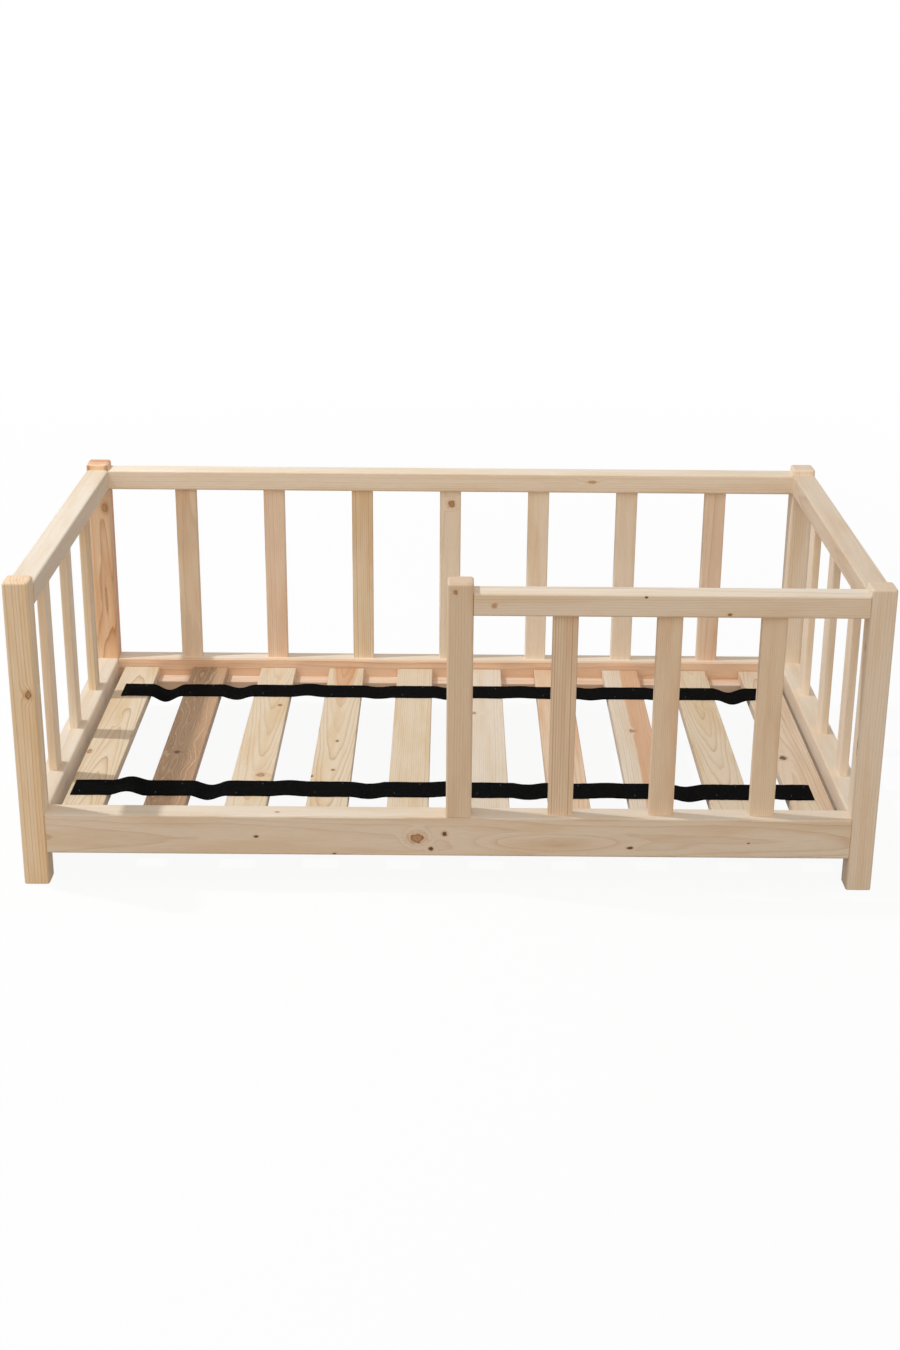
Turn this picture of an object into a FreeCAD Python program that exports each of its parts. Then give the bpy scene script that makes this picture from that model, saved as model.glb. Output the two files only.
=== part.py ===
import FreeCAD, Part
import math
import os

# Toddler floor bed in raw spruce: an open frame of posts, rails and balusters,
# with a loose slatted base that lies on two ledges and is joined by webbing.
# Millimetres. Origin on the floor under the middle of the bed, +X to the right
# seen from the entry side, +Y towards the back, +Z up.

os.makedirs("parts", exist_ok=True)
Vec = FreeCAD.Vector
AXIS_X = Vec(1, 0, 0)
AXIS_Y = Vec(0, 1, 0)
AXIS_Z = Vec(0, 0, 1)

# ---- driving dimensions ----------------------------------------------------
# mattress bay and timber sections
bay_length = 1326.0          # inside, between the end rails
bay_width = 700.0            # inside, between the side rails
post_side = 42.0             # square posts; all rails are as thick as the posts
post_height = 527.0          # corner posts, floor to top
entry_post_rise = 4.0        # the entry post stands this much above the corner posts
foot_height = 57.0           # floor to the underside of the side and end rails
rail_depth = 71.0            # side and end rails, top to bottom
top_rail_depth = 38.0        # top rails and guard rail, top to bottom
post_proud = 12.0            # corner posts stand above the top rails
post_round = 5.0             # rounded edges of the posts and their tops
foot_round = 1.5             # eased edge round the foot
rail_round = 4.0             # rounded long edges of the rails
entry_width = 659.0          # way in, from the front left post to the entry post

# balusters
baluster_width = 41.0
baluster_thickness = 15.0
baluster_round = 3.0
back_balusters = 7
front_balusters = 3
end_balusters = 3
long_end_gap = 126.0         # post to the first baluster, on the back and the front
end_panel_gap = 138.0        # post to the first baluster, on the end panels

# ledges, slats and webbing
ledge_width = 34.0           # how far the ledge stands into the bay
ledge_depth = 24.0
ledge_top_drop = 35.0        # from the rails' top edge down to the ledge's top
ledge_round = 1.5
ledge_end_gap = 40.0         # ledge's end to the end rail, so that it clears the barrel nuts
slat_count = 10
slat_width = 70.0
slat_thickness = 18.0
slat_round = 2.0
slat_end_gap = 12.5          # end rail to the outermost slat
slat_side_clearance = 2.0    # slat end to the side rail's inner face
webbing_width = 62.0
webbing_thickness = 2.0
webbing_front_inset = 73.0   # side rail's inner face to the front strap's near edge
webbing_back_inset = 101.0   # side rail's inner face to the back strap's near edge
# outer edges of the first and last slats to the strap's cut ends, left and right
front_strap_ends = (7.0, 27.0)
back_strap_ends = (18.0, 17.0)
# height of each strap at the middle of each gap, above (+) or below (-) the slats' tops
front_waves = (7.0, -8.0, 2.0, -4.0, 2.0, -3.0, 1.5, -5.0, 2.0)
back_waves = (-12.0, -7.0, 3.0, -3.0, -4.0, 1.5, -2.5, -2.0, -9.0)

# hardware
dowel_diameter = 8.0
dowel_length = 40.0
dowel_relief = 1.5           # glue space past one end of a dowel
dowel_fit = 0.1              # radial play of a dowel, bolt or nut in its hole
rail_dowel_spread = 20.0     # between the two dowels of an end rail joint
top_dowel_spread = 22.0      # between the two dowels of a top rail joint
entry_dowel_spread = 26.0    # between the two dowels under the entry post
bolt_diameter = 6.0
bolt_hole_diameter = 7.0
bolt_head_diameter = 15.0
bolt_head_height = 2.5
bolt_sink_diameter = 17.0
bolt_sink_depth = 3.5
bolt_key = 4.0               # hexagon socket, across its flats
bolt_key_depth = 3.0
bolt_past_nut = 7.0
rail_bolt_spread = 39.0      # between the two bolts of a side rail joint
nut_diameter = 10.0
nut_length = 14.0
nut_inset = 30.0             # joint face to the nut's axis
nut_slot_width = 1.6         # driver slot in the nut's open end, in line with its bolt
nut_slot_depth = 1.2
entry_sink_depth = 10.0      # how deep the entry post's bolt is sunk into the rail
screw_diameter = 4.5
screw_head_diameter = 9.0
screw_head_height = 4.0
screw_grip = 24.0            # how far a ledge screw goes into the side rail
screw_recess_length = 5.0    # each arm of the cross recess
screw_recess_width = 1.1
screw_recess_depth = 2.4
ledge_screw_pairs = 2        # in each ledge, behind every second slat counted from both its ends

# ---- derived places --------------------------------------------------------
bay_x = bay_length / 2
bay_y = bay_width / 2
out_x = bay_x + post_side
out_y = bay_y + post_side
mid_x = bay_x + post_side / 2
mid_y = bay_y + post_side / 2
rail_top = foot_height + rail_depth
rail_mid = foot_height + rail_depth / 2
top_rail_top = post_height - post_proud
top_rail_low = top_rail_top - top_rail_depth
top_rail_mid = top_rail_top - top_rail_depth / 2
entry_left = -bay_x + entry_width
entry_right = entry_left + post_side
entry_mid = entry_left + post_side / 2
entry_top = post_height + entry_post_rise
ledge_top = rail_top - ledge_top_drop
slat_top = ledge_top + slat_thickness
slat_length = bay_width - 2 * slat_side_clearance
slat_pitch = (bay_length - 2 * slat_end_gap - slat_width) / (slat_count - 1)
first_slat_x = -bay_x + slat_end_gap + slat_width / 2
ledge_end = bay_x - ledge_end_gap

nodes = {}     # node name -> its solids
cutters = {}   # node name -> what is bored out of it


def add(node, solid):
    nodes.setdefault(node, []).append(solid)


def bore(node, tool):
    cutters.setdefault(node, []).append(tool)


def edges_along(shape, axis):
    return [edge for edge in shape.Edges
            if abs(edge.tangentAt(edge.FirstParameter).dot(axis)) > 0.99]


def bar(low, high, axis, radius):
    """A straight timber from corner low to corner high, its long edges rounded."""
    size = high - low
    block = Part.makeBox(size.x, size.y, size.z, low)
    across = [size.dot(way) for way in (AXIS_X, AXIS_Y, AXIS_Z) if way.dot(axis) < 0.5]
    return block.makeFillet(min(radius, 0.45 * min(across)), edges_along(block, axis))


def rod(start, axis, length, diameter):
    return Part.makeCylinder(diameter / 2, length, start, axis)


def post(centre_x, centre_y, low, high, low_round):
    """A square post with rounded sides and top; low_round eases the foot's edge."""
    half = post_side / 2
    block = Part.makeBox(post_side, post_side, high - low, Vec(centre_x - half, centre_y - half, low))
    round_edges = [edge for edge in block.Edges if edge.CenterOfMass.z > low + 0.1]
    shape = block.makeFillet(min(post_round, 0.45 * post_side), round_edges)
    if low_round:
        foot_edges = [edge for edge in shape.Edges if edge.BoundBox.ZMax < low + 0.01]
        shape = shape.makeFillet(low_round, foot_edges)
    return shape


def dowel_joint(first, second, face_point, axis):
    """A dowel across the joint face, half in the first piece and half in the second."""
    half = dowel_length / 2
    hole = dowel_diameter + 2 * dowel_fit
    add("dowels", rod(face_point - axis * half, axis, dowel_length, dowel_diameter))
    bore(first, rod(face_point - axis * half, axis, half, hole))
    bore(second, rod(face_point, axis, half + dowel_relief, hole))


def driver_slot(mouth, inward, along, length, width, depth):
    """A straight slot that goes inward from the point mouth, its length along the given axis."""
    across = inward.cross(along)
    corner = mouth - along * length / 2 - across * width / 2
    opposite = corner + along * length + across * width + inward * depth
    low = Vec(*(min(pair) for pair in zip(corner, opposite)))
    size = Vec(*(abs(b - a) for a, b in zip(corner, opposite)))
    return Part.makeBox(size.x, size.y, size.z, low)


def hexagon_socket(mouth, inward):
    """The socket for the bolt's key, a hexagonal prism that goes inward from mouth."""
    corner = Vec(bolt_key / math.sqrt(3), 0, 0)
    turns = [FreeCAD.Rotation(AXIS_Z, 60 * index) for index in range(6)]
    ring = [turn.multVec(corner) for turn in turns]
    prism = Part.Face(Part.makePolygon(ring + ring[:1])).extrude(AXIS_Z * bolt_key_depth)
    prism.Placement = FreeCAD.Placement(mouth, FreeCAD.Rotation(AXIS_Z, inward))
    return prism


def barrel_nut(node, centre, bolt_axis):
    """A cross nut whose bore opens on the face towards the back."""
    start = centre - AXIS_Y * nut_length / 2
    end = centre + AXIS_Y * nut_length / 2
    thread = rod(centre - bolt_axis * nut_diameter, bolt_axis, 2 * nut_diameter,
                 bolt_diameter + 2 * dowel_fit)
    slot = driver_slot(end, -AXIS_Y, bolt_axis, 2 * nut_diameter, nut_slot_width, nut_slot_depth)
    add("barrel_nuts", rod(start, AXIS_Y, nut_length, nut_diameter).cut([thread, slot]))
    bore(node, rod(start, AXIS_Y, post_side, nut_diameter + 2 * dowel_fit))


def bolt(head_seat, axis, shank):
    top = head_seat - axis * bolt_head_height
    head = rod(top, axis, bolt_head_height, bolt_head_diameter)
    return head.fuse(rod(head_seat, axis, shank, bolt_diameter)).cut(hexagon_socket(top, axis))


def bed_bolt(post_node, rail_node, side, y, z):
    """A bolt from the outer end face of a post into the end of a long rail."""
    inward = AXIS_X * -side
    outer = Vec(side * out_x, y, z)
    seat = outer + inward * bolt_sink_depth
    nut_centre = Vec(side * (bay_x - nut_inset), y, z)
    shank = (nut_centre - seat).Length + bolt_past_nut
    add("bed_bolts", bolt(seat, inward, shank))
    bore(post_node, rod(outer, inward, bolt_sink_depth, bolt_sink_diameter))
    bore(post_node, rod(outer, inward, post_side, bolt_hole_diameter))
    bore(rail_node, rod(outer + inward * post_side, inward,
                        nut_inset + bolt_past_nut + dowel_relief, bolt_hole_diameter))
    barrel_nut(rail_node, nut_centre, AXIS_X)


def spaced(low, high, end_gap, count):
    """Centres of count balusters between low and high, with end_gap beside each post."""
    first = low + end_gap + baluster_width / 2
    step = (high - low - 2 * end_gap - baluster_width) / (count - 1)
    return [first + step * index for index in range(count)]


def make_frame():
    for end, side in (("left", -1), ("right", 1)):
        for wall, depth in (("front", -1), ("back", 1)):
            add(f"post_{wall}_{end}", post(side * mid_x, depth * mid_y, 0, post_height, foot_round))
    add("entry_post", post(entry_mid, -mid_y, rail_top, entry_top, 0))

    for wall, depth in (("front", -1), ("back", 1)):
        inner, outer = sorted((depth * bay_y, depth * out_y))
        add(f"side_rail_{wall}", bar(Vec(-bay_x, inner, foot_height), Vec(bay_x, outer, rail_top),
                                     AXIS_X, rail_round))
    add("top_rail_back", bar(Vec(-bay_x, bay_y, top_rail_low), Vec(bay_x, out_y, top_rail_top),
                             AXIS_X, rail_round))
    add("guard_rail", bar(Vec(entry_right, -out_y, top_rail_low), Vec(bay_x, -bay_y, top_rail_top),
                          AXIS_X, rail_round))
    for end, side in (("left", -1), ("right", 1)):
        inner, outer = sorted((side * bay_x, side * out_x))
        add(f"end_rail_{end}", bar(Vec(inner, -bay_y, foot_height), Vec(outer, bay_y, rail_top),
                                   AXIS_Y, rail_round))
        add(f"top_rail_{end}", bar(Vec(inner, -bay_y, top_rail_low), Vec(outer, bay_y, top_rail_top),
                                   AXIS_Y, rail_round))


def baluster(node, centre_x, centre_y, along_y, low_rail, high_rail):
    """One flat upright between two rails, with a dowel at each end."""
    half_x = (baluster_thickness if along_y else baluster_width) / 2
    half_y = (baluster_width if along_y else baluster_thickness) / 2
    add(node, bar(Vec(centre_x - half_x, centre_y - half_y, rail_top),
                  Vec(centre_x + half_x, centre_y + half_y, top_rail_low), AXIS_Z, baluster_round))
    dowel_joint(low_rail, node, Vec(centre_x, centre_y, rail_top), AXIS_Z)
    dowel_joint(high_rail, node, Vec(centre_x, centre_y, top_rail_low), -AXIS_Z)


def make_balusters():
    for index, x in enumerate(spaced(-bay_x, bay_x, long_end_gap, back_balusters), 1):
        baluster(f"baluster_back_{index}", x, mid_y, False, "side_rail_back", "top_rail_back")
    for index, x in enumerate(spaced(entry_right, bay_x, long_end_gap, front_balusters), 1):
        baluster(f"baluster_front_{index}", x, -mid_y, False, "side_rail_front", "guard_rail")
    for end, side in (("left", -1), ("right", 1)):
        for index, y in enumerate(spaced(-bay_y, bay_y, end_panel_gap, end_balusters), 1):
            baluster(f"baluster_{end}_{index}", side * mid_x, y, True,
                     f"end_rail_{end}", f"top_rail_{end}")


def join_frame():
    # glued end panels: two dowels at each end of each cross rail
    for end, side in (("left", -1), ("right", 1)):
        for wall, depth in (("front", -1), ("back", 1)):
            corner = f"post_{wall}_{end}"
            for shift in (-0.5, 0.5):
                low = Vec(side * mid_x, depth * bay_y, rail_mid + shift * rail_dowel_spread)
                dowel_joint(f"end_rail_{end}", corner, low, AXIS_Y * depth)
                high = Vec(side * mid_x, depth * bay_y, top_rail_mid + shift * top_dowel_spread)
                dowel_joint(f"top_rail_{end}", corner, high, AXIS_Y * depth)
    # bolted side rails, two bolts a joint, and one bolt at each end of a top rail
    for end, side in (("left", -1), ("right", 1)):
        for wall, depth in (("front", -1), ("back", 1)):
            for shift in (-0.5, 0.5):
                bed_bolt(f"post_{wall}_{end}", f"side_rail_{wall}", side, depth * mid_y,
                         rail_mid + shift * rail_bolt_spread)
        bed_bolt(f"post_back_{end}", "top_rail_back", side, mid_y, top_rail_mid)
    bed_bolt("post_front_right", "guard_rail", 1, -mid_y, top_rail_mid)

    # entry post: bolted from below through the side rail, with two dowels beside the bolt
    under = Vec(entry_mid, -mid_y, foot_height)
    seat = under + AXIS_Z * entry_sink_depth
    nut_centre = Vec(entry_mid, -mid_y, rail_top + nut_inset)
    shank = nut_centre.z - seat.z + bolt_past_nut
    add("entry_post_bolt", bolt(seat, AXIS_Z, shank))
    bore("side_rail_front", rod(under, AXIS_Z, entry_sink_depth, bolt_sink_diameter))
    bore("side_rail_front", rod(under, AXIS_Z, rail_depth, bolt_hole_diameter))
    bore("entry_post", rod(Vec(entry_mid, -mid_y, rail_top), AXIS_Z,
                           nut_inset + bolt_past_nut + dowel_relief, bolt_hole_diameter))
    barrel_nut("entry_post", nut_centre, AXIS_Z)
    for shift in (-0.5, 0.5):
        foot = Vec(entry_mid + shift * entry_dowel_spread, -mid_y, rail_top)
        dowel_joint("side_rail_front", "entry_post", foot, AXIS_Z)
        butt = Vec(entry_right, -mid_y, top_rail_mid + shift * top_dowel_spread)
        dowel_joint("guard_rail", "entry_post", butt, -AXIS_X)


def slat_x(number):
    return first_slat_x + (number - 1) * slat_pitch


def make_ledges():
    for wall, depth in (("front", -1), ("back", 1)):
        node = f"ledge_{wall}"
        inner, outer = sorted((depth * (bay_y - ledge_width), depth * bay_y))
        add(node, bar(Vec(-ledge_end, inner, ledge_top - ledge_depth), Vec(ledge_end, outer, ledge_top),
                      AXIS_X, ledge_round))
        outward = AXIS_Y * depth
        for pair in range(1, ledge_screw_pairs + 1):
            for number in (2 * pair, slat_count + 1 - 2 * pair):
                face = Vec(slat_x(number), depth * (bay_y - ledge_width), ledge_top - ledge_depth / 2)
                ledge_screw(node, f"side_rail_{wall}", face, outward)


def ledge_screw(ledge_node, rail_node, face, axis):
    """A countersunk screw through the ledge into the side rail."""
    head = Part.makeCone(screw_head_diameter / 2, screw_diameter / 2, screw_head_height, face, axis)
    cross = [driver_slot(face, axis, along, screw_recess_length, screw_recess_width, screw_recess_depth)
             for along in (AXIS_X, AXIS_Z)]
    length = ledge_width + screw_grip
    add("ledge_screws", head.fuse(rod(face, axis, length, screw_diameter)).cut(cross))
    play = 2 * dowel_fit
    bore(ledge_node, head)
    bore(ledge_node, rod(face, axis, ledge_width, screw_diameter + play))
    bore(rail_node, rod(face + axis * ledge_width, axis, screw_grip, screw_diameter + play))


def wave_edges(start, end):
    """Two equal arcs that leave start and reach end level, as a slack strap does."""
    rise = end.z - start.z
    run = end.x - start.x
    if abs(rise) < 0.01:
        return [Part.LineSegment(start, end).toShape()]
    middle = (start + end) * 0.5
    radius = (run * run + rise * rise) / (4 * abs(rise))
    turn = math.copysign(1, rise)
    half_angle = math.asin(min(1.0, abs(run) / 2 / radius)) / 2
    reach = math.copysign(radius * math.sin(half_angle), run)
    lift = turn * radius * (1 - math.cos(half_angle))
    first = Part.Arc(start, start + Vec(reach, 0, lift), middle).toShape()
    second = Part.Arc(middle, end - Vec(reach, 0, lift), end).toShape()
    return [first, second]


def strap_piece(number, waves, insets, low_y):
    """The stretch of one strap that belongs to one slat, out to the middle of its gaps."""
    top = slat_top + webbing_thickness
    left = slat_x(number) - slat_width / 2
    right = slat_x(number) + slat_width / 2
    half_gap = (slat_pitch - slat_width) / 2
    edges = []
    if number > 1:
        left_end = Vec(left - half_gap, low_y, top + waves[number - 2])
        edges += wave_edges(left_end, Vec(left, low_y, top))
        flat_start = Vec(left, low_y, top)
    else:
        flat_start = left_end = Vec(left + insets[0], low_y, top)
    if number < slat_count:
        flat_end = Vec(right, low_y, top)
        right_end = Vec(right + half_gap, low_y, top + waves[number - 1])
        after = wave_edges(flat_end, right_end)
    else:
        flat_end = right_end = Vec(right - insets[1], low_y, top)
        after = []
    edges.append(Part.LineSegment(flat_start, flat_end).toShape())
    edges += after
    drop = Vec(0, 0, -webbing_thickness)
    under = [edge.translated(drop) for edge in edges]
    ends = [Part.LineSegment(left_end, left_end + drop).toShape(),
            Part.LineSegment(right_end, right_end + drop).toShape()]
    outline = Part.Wire(Part.__sortEdges__(edges + under + ends))
    return Part.Face(outline).extrude(AXIS_Y * webbing_width)


def make_slatted_base():
    front_y = -bay_y + webbing_front_inset
    back_y = bay_y - webbing_back_inset - webbing_width
    for number in range(1, slat_count + 1):
        x = slat_x(number)
        add(f"slat_{number}", bar(Vec(x - slat_width / 2, -slat_length / 2, ledge_top),
                                  Vec(x + slat_width / 2, slat_length / 2, slat_top),
                                  AXIS_Y, slat_round))
        add(f"webbing_{number}", strap_piece(number, front_waves, front_strap_ends, front_y))
        add(f"webbing_{number}", strap_piece(number, back_waves, back_strap_ends, back_y))


make_frame()
make_balusters()
join_frame()
make_ledges()
make_slatted_base()

for node, solids in nodes.items():
    if node in cutters:
        solids = [solid.cut(cutters[node]) for solid in solids]
    shape = solids[0] if len(solids) == 1 else Part.makeCompound(solids)
    shape.exportStep(f"parts/{node}.step")
print(f"{len(nodes)} nodes, slat pitch {slat_pitch:.1f}, slat top {slat_top:.1f}")
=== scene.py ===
import math
import random

import bmesh
import bpy
from mathutils import Euler, Matrix, Vector, noise


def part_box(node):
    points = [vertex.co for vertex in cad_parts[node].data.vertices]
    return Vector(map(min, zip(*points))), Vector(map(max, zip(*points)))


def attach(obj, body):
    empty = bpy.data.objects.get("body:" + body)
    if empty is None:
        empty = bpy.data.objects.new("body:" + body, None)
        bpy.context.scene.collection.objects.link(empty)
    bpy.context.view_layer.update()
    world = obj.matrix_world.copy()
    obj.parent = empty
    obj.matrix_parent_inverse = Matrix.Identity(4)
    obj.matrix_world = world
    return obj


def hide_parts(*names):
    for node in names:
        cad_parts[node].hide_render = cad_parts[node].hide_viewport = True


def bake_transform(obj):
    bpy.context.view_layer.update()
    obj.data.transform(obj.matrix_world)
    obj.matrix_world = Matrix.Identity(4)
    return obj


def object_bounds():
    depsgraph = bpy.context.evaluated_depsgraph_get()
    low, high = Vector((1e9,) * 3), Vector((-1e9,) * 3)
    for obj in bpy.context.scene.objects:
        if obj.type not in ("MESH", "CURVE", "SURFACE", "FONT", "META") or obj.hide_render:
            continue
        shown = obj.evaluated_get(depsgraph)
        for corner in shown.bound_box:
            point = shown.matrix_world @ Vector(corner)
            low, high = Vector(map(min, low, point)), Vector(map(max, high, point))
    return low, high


# Toddler floor bed in raw spruce. The timbers, bolts and nuts are the frame's own nodes with
# better materials; the webbing and its staples are made here. Metres, as the frame is.

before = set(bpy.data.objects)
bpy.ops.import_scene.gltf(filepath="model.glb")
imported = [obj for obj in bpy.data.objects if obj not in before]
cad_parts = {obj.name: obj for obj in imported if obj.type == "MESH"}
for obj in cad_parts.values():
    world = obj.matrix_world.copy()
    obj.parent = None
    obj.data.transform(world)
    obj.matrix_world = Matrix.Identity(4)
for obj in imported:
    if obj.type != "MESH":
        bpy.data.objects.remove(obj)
cadLow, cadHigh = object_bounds()
mm = 0.001


def linear(hexColour, alpha=1.0):
    # sRGB hex to the linear values that shader sockets take
    parts = [int(hexColour[i:i + 2], 16) / 255 for i in (1, 3, 5)]
    return [p / 12.92 if p <= 0.04045 else ((p + 0.055) / 1.055) ** 2.4 for p in parts] + [alpha]


def addNode(tree, kind, inputs=None, **settings):
    # one shader node: its settings, then each input as a value or as another node's output
    node = tree.nodes.new(kind)
    for name, value in settings.items():
        setattr(node, name, value)
    for socket, value in (inputs or {}).items():
        if isinstance(value, bpy.types.NodeSocket):
            tree.links.new(value, node.inputs[socket])
        else:
            node.inputs[socket].default_value = value
    return node


def newMaterial(name):
    # a material with an empty node tree
    material = bpy.data.materials.new(name)
    material.use_nodes = True
    tree = material.node_tree
    tree.nodes.clear()
    return material, tree


def finishMaterial(tree, shader):
    addNode(tree, "ShaderNodeOutputMaterial", {"Surface": shader.outputs[0]})


def setMaterial(node, material):
    # gives one of the frame's own nodes its only material
    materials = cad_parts[node].data.materials
    materials.clear()
    materials.append(material)


def newPiece(name, bm, material):
    # a finished bmesh becomes an object in the scene
    mesh = bpy.data.meshes.new(name)
    bm.to_mesh(mesh)
    bm.free()
    mesh.materials.append(material)
    piece = bpy.data.objects.new(name, mesh)
    bpy.context.scene.collection.objects.link(piece)
    return piece


# camera: found by fitting the bed's edges in the photograph
cameraValues = {
    "place": (-0.001, -3.2447, 1.4559),
    "turn": 0.044,         # degrees to the right of straight ahead
    "tilt": -20.699,       # degrees; it looks down
    "roll": 0.459,         # degrees
    "lens": 50.95,         # mm, on the 36 mm long side
    "clip": (0.05, 500),   # metres, the nearest and the farthest that it sees
}


def makeCamera():
    values = cameraValues
    data = bpy.data.cameras.new("camera")
    data.lens = values["lens"]
    data.clip_start, data.clip_end = values["clip"]
    camera = bpy.data.objects.new("camera", data)
    bpy.context.scene.collection.objects.link(camera)
    turn = Matrix.Rotation(-math.radians(values["turn"]), 4, "Z")
    tilt = Matrix.Rotation(math.radians(90 + values["tilt"]), 4, "X")
    roll = Matrix.Rotation(math.radians(values["roll"]), 4, "Z")
    camera.matrix_world = Matrix.Translation(values["place"]) @ turn @ tilt @ roll
    bpy.context.scene.camera = camera


# light: a small key lamp above and to the left, a wide soft fill from the front, and an even sky
lightValues = {
    "keyPlace": (-1.957, 0.10, 3.14),   # metres, as the shadows of the posts and rails spread
    "keyColour": "#F9FCFF",
    "keyPower": 225.0,                  # watts
    "keyRadius": 0.05,                  # metres; a larger lamp gives softer shadows
    "fillFrom": (-0.05, -1.0, 0.3),     # the direction that the fill comes from
    "fillColour": "#FFF3E6",
    "fillStrength": 1.15,
    "fillSoftness": 90.0,               # degrees across
    "sky": 0.43,                        # strength of the even light from all round
}
floorValues = {
    "size": 400,            # metres, so that it fills the view up to the horizon
    "colour": "#A68E72",    # as it throws light back on the bed
    "shown": "#F8F8F8",     # as the camera sees it
    "lift": 0.93,           # how much of its white takes no shadow near the bed
    "fade": (1.2, 4.0),     # metres from the bed's middle, from that share to all of it
}


def directRays(tree):
    # 1 where the camera, a reflection or glass looks, and 0 for light that bounces
    path = addNode(tree, "ShaderNodeLightPath")
    seen = addNode(tree, "ShaderNodeMath", {0: path.outputs["Is Camera Ray"],
                                            1: path.outputs["Is Glossy Ray"]}, operation="MAXIMUM")
    return addNode(tree, "ShaderNodeMath", {0: seen.outputs[0], 1: path.outputs["Is Transmission Ray"]},
                   operation="MAXIMUM").outputs[0]


def makeLamp(name, kind, place, colour, strength):
    # a lamp at its place, turned to the bed's middle
    data = bpy.data.lights.new(name, kind)
    data.color = linear(colour)[:3]
    data.energy = strength
    lamp = bpy.data.objects.new(name, data)
    bpy.context.scene.collection.objects.link(lamp)
    lamp.location = place
    lamp.rotation_mode = "QUATERNION"
    lamp.rotation_quaternion = Vector(place).to_track_quat("Z", "Y")
    return data


def makeLight():
    values = lightValues
    key = makeLamp("keyLamp", "POINT", values["keyPlace"], values["keyColour"], values["keyPower"])
    key.shadow_soft_size = values["keyRadius"]
    fill = makeLamp("fillLamp", "SUN", values["fillFrom"], values["fillColour"], values["fillStrength"])
    fill.angle = math.radians(values["fillSoftness"])

    world = bpy.data.worlds.new("studio")
    world.use_nodes = True
    bpy.context.scene.world = world
    tree = world.node_tree
    tree.nodes.clear()
    lighting = addNode(tree, "ShaderNodeBackground", {"Color": (1, 1, 1, 1), "Strength": values["sky"]})
    shown = addNode(tree, "ShaderNodeBackground", {"Color": (1, 1, 1, 1), "Strength": 1.0})
    mixed = addNode(tree, "ShaderNodeMixShader", {0: directRays(tree), 1: lighting.outputs[0],
                                                  2: shown.outputs[0]})
    addNode(tree, "ShaderNodeOutputWorld", {"Surface": mixed.outputs[0]})


def floorMaterial():
    # pale studio floor: matt and almost white, so that only a soft shadow shows on it
    values = floorValues
    material, tree = newMaterial("pale studio floor")
    seen = directRays(tree)
    colour = addNode(tree, "ShaderNodeMix", {0: seen, 6: linear(values["colour"]),
                                             7: linear(values["shown"])}, data_type="RGBA")
    plain = addNode(tree, "ShaderNodeBsdfDiffuse", {"Color": colour.outputs[2]})
    white = addNode(tree, "ShaderNodeEmission", {"Color": (1, 1, 1, 1), "Strength": 1.0})
    where = addNode(tree, "ShaderNodeTexCoord")
    away = addNode(tree, "ShaderNodeVectorMath", {0: where.outputs["Object"]}, operation="LENGTH")
    near, far = values["fade"]
    lift = addNode(tree, "ShaderNodeMapRange", {"Value": away.outputs["Value"], "From Min": near,
                                                "From Max": far, "To Min": values["lift"],
                                                "To Max": 1.0}, interpolation_type="SMOOTHSTEP")
    share = addNode(tree, "ShaderNodeMath", {0: seen, 1: lift.outputs[0]}, operation="MULTIPLY")
    finishMaterial(tree, addNode(tree, "ShaderNodeMixShader", {0: share.outputs[0], 1: plain.outputs[0],
                                                               2: white.outputs[0]}))
    return material


def makeFloor():
    bm = bmesh.new()
    bmesh.ops.create_grid(bm, x_segments=1, y_segments=1, size=floorValues["size"] / 2)
    newPiece("floor", bm, floorMaterial())


makeCamera()
makeLight()
makeFloor()
print("camera, light and floor made")


# timber: planed raw spruce. Each board is cut from its own place in a tree, so its growth rings
# are tubes round a line, the pith, that lies somewhere beside the board.
# A tone has its early and late wood and its patches; in brown the late wood is the paler.
tones = {
    "cream":  {"early": "#F3E4CF", "late": "#CFA67C", "patch": "#EDD8BC"},
    "tan":    {"early": "#EAD5BA", "late": "#BE9066", "patch": "#E2C6A6"},
    "pink":   {"early": "#EED7BF", "late": "#C6946E", "patch": "#E8C8AC"},
    "straw":  {"early": "#EDDABD", "late": "#BF925F", "patch": "#E6CBA4"},
    "orange": {"early": "#EDCFAE", "late": "#B67C4E", "patch": "#E4B98F"},
    "brown":  {"early": "#B8916B", "late": "#DDC09A", "patch": "#A87F5A"},
}
plainBoard = {
    "tone": "tan",
    "ring": 3.4,           # mm from one growth ring to the next
    "pith": (14, 70),      # mm from the board's middle to the pith, across its two short sides
    "lean": (0.4, 0.3),    # degrees between the board and the pith
    "wander": 6.0,         # mm that the rings wander along the board
    "waves": (380, 52),    # mm, length and width of those slow waves
    "contrast": 0.42,      # how dark the late wood is drawn
    "shade": 1.0,          # how light the board is: its tone, and in places painted light
    "heart": 0,            # mm, radius of the orange heartwood; 0 is none
    "stain": 0.75,         # how strongly the heartwood is drawn
    "knots": (),           # (x, y, z), length, width, kind; mm, in the bed's own frame
}
grainValues = {
    "years": (0.3, 1.5),          # the weakest and the strongest year's line, times the contrast
    "lateSteps": ((0.5, 0.06), (0.8, 0.42), (0.93, 1.0)),   # how late the wood is at shares of a ring
    "patch": (240, 26),           # mm, length and width of warmer patches
    "fibre": (26, 0.8),           # mm, drawn ten to twenty times coarser than real fibres, to show
    "fibreShade": (0.93, 1.04),   # the darkest and the lightest fibre
    "fibreRelief": 0.5,           # how far fibres stand proud, where late wood is 1
    "bumpDepth": 0.12,            # mm, late wood stands proud after planing
    "heartColour": "#EDBD92",     # multiplied in
    "heartEdge": (-3, 2),         # mm from the heartwood's radius, over which it fades
    "endColour": "#E9CDB0",       # multiplied in: end grain drinks more light, so cut ends are darker
    "endShare": 0.45,
    "gloss": (0.52, 0.68),        # roughness
    "fuzz": 0.25,                 # sheen of raw wood's fine fuzz, which pales a face seen at a low angle
}
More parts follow.
